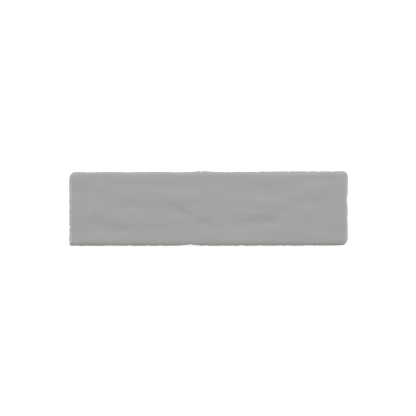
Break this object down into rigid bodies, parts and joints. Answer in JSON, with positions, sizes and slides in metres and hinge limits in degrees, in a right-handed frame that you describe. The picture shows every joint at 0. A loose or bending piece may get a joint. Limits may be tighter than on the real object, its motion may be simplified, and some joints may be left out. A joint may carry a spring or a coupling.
{
  "type": "glass tile",
  "caption": "Long narrow wall tile of opaque grey glass with softly rolled edges, an undulating satin face and a shallow keying grid on its back.",
  "frame": {"origin": "centre of the tile's nominal outline on the plane of its back", "axes": "+X along the long edge, +Y along the short edge towards the edge that is up in the picture, +Z out of the face"},
  "size_m": [0.3, 0.0806, 0.008],
  "materials": {
    "opaque_glass": "satin"
  },
  "bodies": {
    "root": {"tile": "opaque_glass"}
  },
  "joints": []
}
